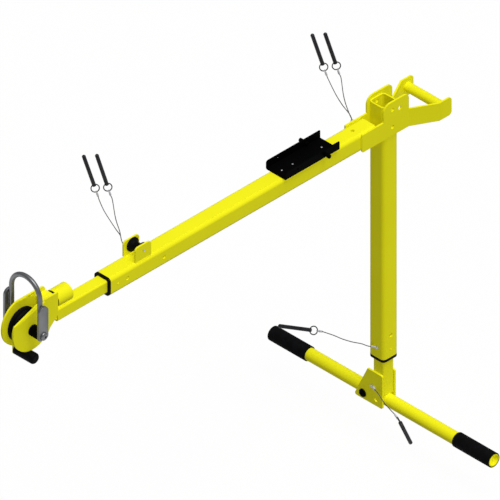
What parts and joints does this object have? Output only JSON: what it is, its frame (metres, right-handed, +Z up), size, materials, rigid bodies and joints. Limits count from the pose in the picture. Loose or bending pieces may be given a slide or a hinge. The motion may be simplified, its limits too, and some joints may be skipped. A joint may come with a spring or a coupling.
{
  "type": "pole hoist",
  "caption": "Portable pole hoist: square mast with telescoping leg and folding crossbar, tilting telescopic boom with winch bracket, swivelling sheave head and steel bail",
  "frame": {"origin": "where the mast tube's axis meets the boom tube's axis, at the head plates' lower pivot hole", "axes": "+Z up along the mast, -X along the boom towards the sheave, Y along the crossbar"},
  "size_m": [1.7852, 0.928, 1.4521],
  "materials": {
    "yellow_paint": "gloss",
    "black_steel": "satin",
    "black_plastic": "matte",
    "grip_rubber": "matte",
    "zinc": "satin",
    "bronze": "satin",
    "plain_steel": "satin",
    "strand_steel": "satin",
    "pin_steel": "satin"
  },
  "bodies": {
    "mast": {"mast_tube": "yellow_paint", "mast_collar": "black_plastic", "mast_collar_screws": "zinc", "strand_mast": "strand_steel", "ferrules_mast": "zinc"},
    "leg": {"leg_tube": "yellow_paint", "leg_guide": "black_plastic", "gusset_front": "yellow_paint", "gusset_rear": "yellow_paint", "fold_bolt": "black_steel", "fold_nut": "black_steel", "strand_foot": "strand_steel", "ferrules_leg": "zinc"},
    "crossbar": {"crossbar_tube": "yellow_paint", "grips": "grip_rubber", "fold_bush": "bronze"},
    "boom": {"boom_outer": "yellow_paint", "boom_collar": "black_plastic", "boom_collar_screws": "zinc", "plate_near": "yellow_paint", "plate_far": "yellow_paint", "carry_bar": "yellow_paint", "winch_bracket": "black_steel", "bracket_screws": "zinc", "bracket_bolts": "black_steel", "cheek_near": "yellow_paint", "cheek_far": "yellow_paint", "pulley_axle": "zinc", "strand_a": "strand_steel", "strand_b": "strand_steel", "strand_c": "strand_steel", "strand_d1": "strand_steel", "ferrules_boom": "zinc"},
    "pulley": {"guide_pulley": "black_plastic", "pulley_bush": "bronze"},
    "inner_boom": {"boom_inner": "yellow_paint", "boom_guide": "black_plastic", "swivel_housing": "yellow_paint", "swivel_bushes": "bronze"},
    "head": {"swivel_block": "yellow_paint", "swivel_spindle": "plain_steel", "swivel_washer": "black_steel", "side_plate_near": "yellow_paint", "side_plate_far": "yellow_paint", "sheave_bolt": "black_steel", "sheave_nut": "black_steel", "sheave_spacers": "black_steel", "peg_tab": "yellow_paint", "rope_peg": "black_plastic"},
    "sheave": {"end_sheave": "black_plastic", "sheave_bush": "bronze"},
    "bail_loop": {"bail": "plain_steel"},
    "lock_a": {"pin_a": "pin_steel"},
    "lock_b": {"pin_b": "pin_steel"},
    "lock_c": {"pin_c": "pin_steel"},
    "lock_d": {"pin_d1": "pin_steel"},
    "lock_mast": {"pin_mast": "pin_steel"},
    "lock_foot": {"pin_foot": "pin_steel"}
  },
  "joints": [
    {"name": "head_tilt", "type": "hinge", "parent": "mast", "child": "boom", "pos_m": [0, 0, 0], "axis": [0, -1, 0], "range_deg": [0, 30]},
    {"name": "leg_slide", "type": "slide", "parent": "mast", "child": "leg", "axis": [0, 0, -1], "range_m": [0, 0.385]},
    {"name": "crossbar_fold", "type": "hinge", "parent": "leg", "child": "crossbar", "pos_m": [0, 0.058, -1], "axis": [1, 0, 0], "range_deg": [0, 90]},
    {"name": "boom_slide", "type": "slide", "parent": "boom", "child": "inner_boom", "axis": [-1, 0, 0], "range_m": [0, 0.385]},
    {"name": "pulley_spin", "type": "hinge", "parent": "boom", "child": "pulley", "pos_m": [-1.034, 0, 0.0615], "axis": [0, 1, 0], "continuous": true},
    {"name": "head_swivel", "type": "hinge", "parent": "inner_boom", "child": "head", "pos_m": [-1.394, 0, 0.051], "axis": [1, 0, 0], "range_deg": [-90, 90]},
    {"name": "sheave_spin", "type": "hinge", "parent": "head", "child": "sheave", "pos_m": [-1.502, 0, 0.0085], "axis": [0, 1, 0], "continuous": true},
    {"name": "bail_swing", "type": "hinge", "parent": "head", "child": "bail_loop", "pos_m": [-1.502, 0, 0.0085], "axis": [0, 1, 0], "range_deg": [-110, 55]},
    {"name": "pin_a_swing", "type": "hinge", "parent": "boom", "child": "lock_a", "pos_m": [-1.10531, 0.09987, 0.24775], "axis": [0.8035, -0.5275, 0.276], "range_deg": [-30, 30]},
    {"name": "pin_b_swing", "type": "hinge", "parent": "boom", "child": "lock_b", "pos_m": [-1.07661, 0.0758, 0.24907], "axis": [0.8016, -0.5352, 0.2664], "range_deg": [-30, 30]},
    {"name": "pin_c_swing", "type": "hinge", "parent": "boom", "child": "lock_c", "pos_m": [-0.13109, 0.11461, 0.19356], "axis": [0.8031, -0.5293, 0.2738], "range_deg": [-30, 30]},
    {"name": "pin_d_swing", "type": "hinge", "parent": "boom", "child": "lock_d", "pos_m": [-0.10171, 0.09076, 0.19562], "axis": [0.8027, -0.5309, 0.2718], "range_deg": [-30, 30]},
    {"name": "pin_mast_swing", "type": "hinge", "parent": "mast", "child": "lock_mast", "pos_m": [-0.09299, 0.1844, -0.80657], "axis": [0.4963, 0.3133, 0.8096], "range_deg": [-30, 30]},
    {"name": "pin_foot_swing", "type": "hinge", "parent": "leg", "child": "lock_foot", "pos_m": [-0.07562, -0.13405, -0.97318], "axis": [0.4373, 0.074, -0.8963], "range_deg": [-5, 30]}
  ]
}
